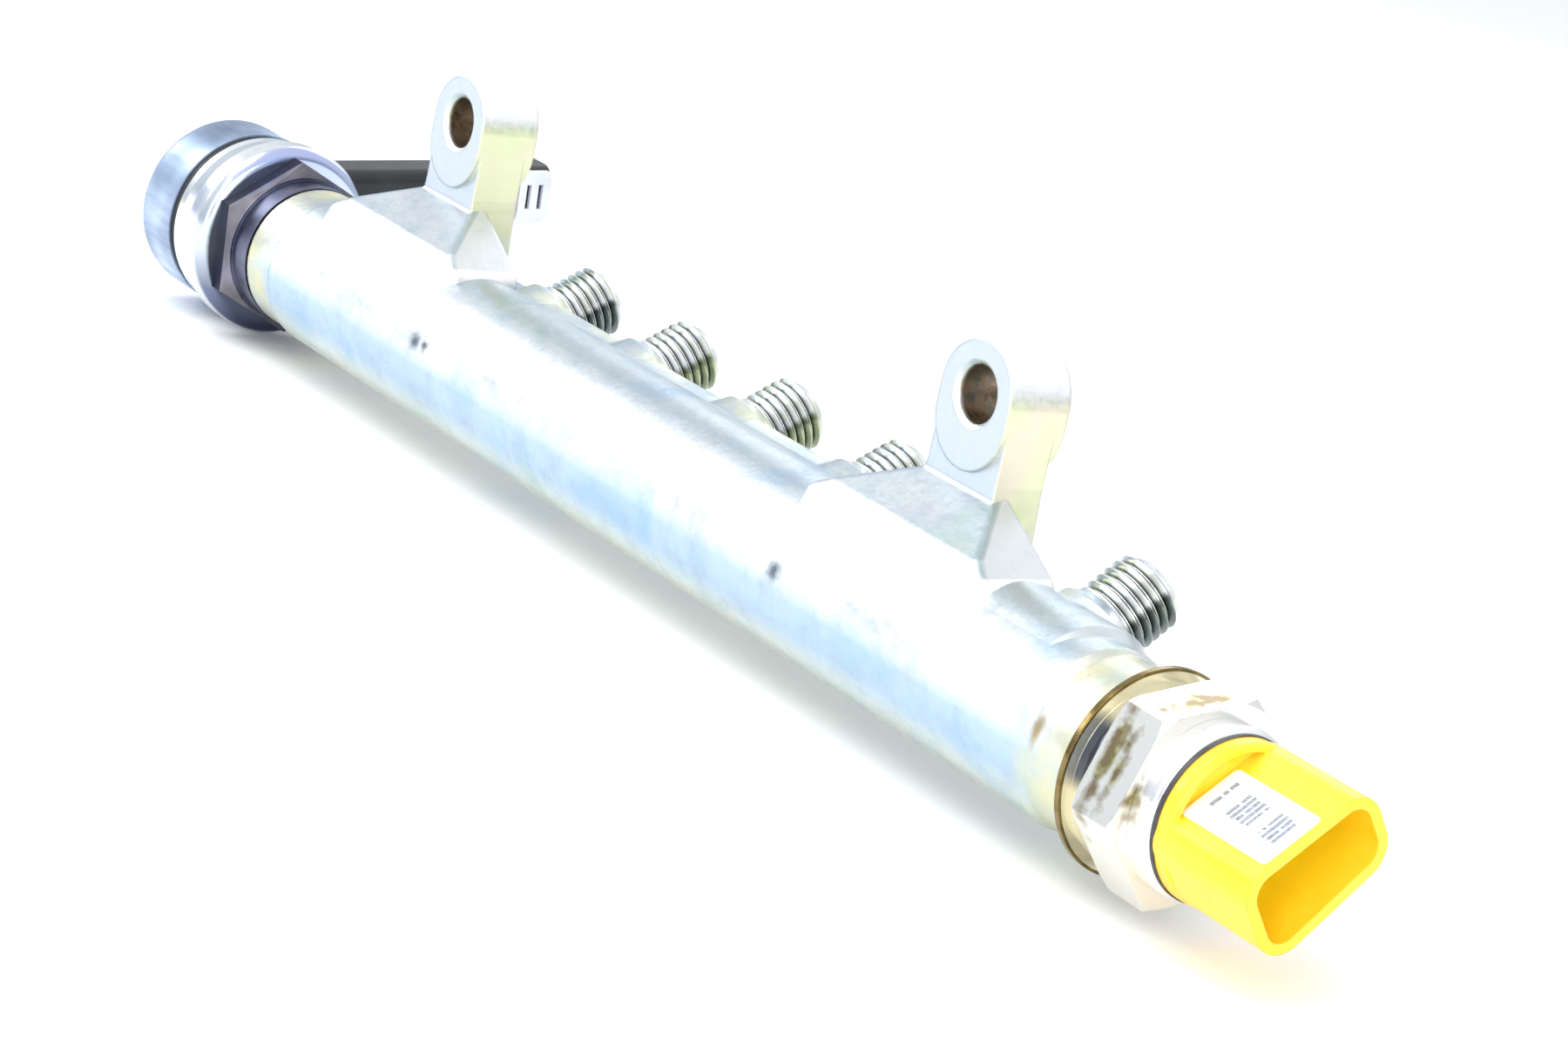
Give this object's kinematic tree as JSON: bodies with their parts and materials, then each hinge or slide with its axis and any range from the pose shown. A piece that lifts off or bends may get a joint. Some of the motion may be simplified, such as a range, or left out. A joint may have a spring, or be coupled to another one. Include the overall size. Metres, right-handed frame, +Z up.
{
  "type": "common rail fuel rail with pressure valve and pressure sensor",
  "caption": "Forged steel fuel rail on two bolt ears, with screwed nipples for the fuel lines, a pressure regulating valve at the left end and a pressure sensor with a yellow plug at the right.",
  "frame": {"origin": "midway between the two bolt holes, on the flat seat face at the back of the ears", "axes": "+X along the rail towards the sensor, +Y back through the bolt holes into the engine, +Z up from the rail towards the ears' heads"},
  "size_m": [0.3055, 0.0715, 0.0593],
  "materials": {
    "zinc_plated_steel": "satin, iridescent zinc plating",
    "dark_steel": "satin, dark",
    "bright_steel": "bright turned",
    "slate_coating": "satin",
    "tool_steel": "ground",
    "black_rubber": "matt",
    "black_plastic": "satin",
    "pale_plastic": "satin",
    "natural_plastic": "matt",
    "copper_wire": "enamelled",
    "gold_contact": "bright",
    "yellow_plastic": "satin gloss",
    "board_laminate": "lacquered"
  },
  "bodies": {
    "root": {"rail_body": "zinc_plated_steel", "valve_body": "dark_steel", "valve_o_ring": "black_rubber", "valve_backup_ring": "pale_plastic", "valve_seat": "tool_steel", "valve_ball": "tool_steel", "armature_pin": "tool_steel", "armature": "tool_steel", "valve_spring": "tool_steel", "coil_bobbin": "natural_plastic", "coil_winding": "copper_wire", "magnet_pot": "bright_steel", "pot_seal": "black_rubber", "valve_cap": "slate_coating", "valve_connector": "black_plastic", "connector_lock": "pale_plastic", "valve_pins": "gold_contact", "sensor_port": "bright_steel", "pressure_cell": "tool_steel", "board_carrier": "natural_plastic", "sensor_board": "board_laminate", "board_contacts": "gold_contact", "sensor_shell": "bright_steel", "sensor_gasket": "black_rubber", "sensor_plug": "yellow_plastic", "plug_terminals": "gold_contact"}
  },
  "joints": []
}
